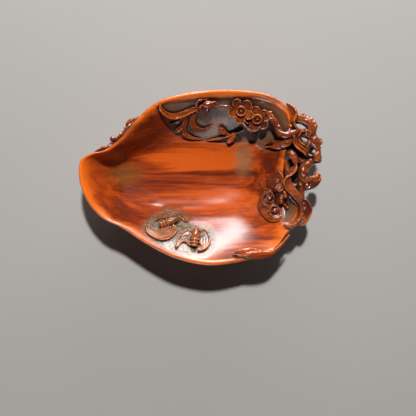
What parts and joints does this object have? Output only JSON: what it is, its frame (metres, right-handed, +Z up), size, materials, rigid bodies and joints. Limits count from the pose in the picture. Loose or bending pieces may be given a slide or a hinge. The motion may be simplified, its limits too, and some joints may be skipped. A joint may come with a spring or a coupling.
{
  "type": "carved peach-shaped wooden dish",
  "caption": "Carved wooden dish in the shape of a half peach, with raised blossoms, leaves, bats and an openwork branch end; holds water, brushes or small desk things.",
  "frame": {"origin": "centre of the foot ring's flat base, on the table", "axes": "+Z up out of the open bowl, -X towards the peach's tip, +X towards the openwork branch end, +Y towards the blossoms"},
  "size_m": [0.1611, 0.1155, 0.0377],
  "materials": {
    "bowl_wood": "waxed, semi-gloss",
    "foot_wood": "waxed, satin",
    "leaf_wood": "waxed, semi-gloss",
    "flower_wood": "waxed, semi-gloss",
    "fungus_wood": "waxed, semi-gloss",
    "bat_wood": "waxed, semi-gloss",
    "branch_wood": "waxed, semi-gloss"
  },
  "bodies": {
    "root": {"dish_bowl": "bowl_wood", "foot_ring": "foot_wood", "rim_leaf_fold": "leaf_wood", "long_leaf": "leaf_wood", "blade_leaf": "leaf_wood", "blade_leaf_tip": "leaf_wood", "crescent_leaf_outer": "leaf_wood", "crescent_leaf_inner": "leaf_wood", "rosebud": "flower_wood", "blossom_twig": "branch_wood", "blossom_left": "flower_wood", "blossom_right": "flower_wood", "blossom_stalk": "branch_wood", "small_bud": "flower_wood", "lower_twig": "branch_wood", "teardrop_bud": "flower_wood", "main_branch": "branch_wood", "forked_leaf": "leaf_wood", "edge_leaf": "leaf_wood", "ring_branch": "branch_wood", "gnarled_trunk": "branch_wood", "loop_leaf": "leaf_wood", "rim_vine": "branch_wood", "middle_trunk": "branch_wood", "fungus_outer": "fungus_wood", "fungus_upper": "fungus_wood", "fungus_lower": "fungus_wood", "berries": "flower_wood", "fungus_end": "fungus_wood", "bat_left": "bat_wood", "bat_right": "bat_wood", "side_twig": "branch_wood", "side_beads": "flower_wood", "serrated_leaf": "leaf_wood", "back_branch": "branch_wood", "back_leaves": "leaf_wood", "front_branch": "branch_wood", "front_leaves": "leaf_wood", "back_buds": "flower_wood"}
  },
  "joints": []
}
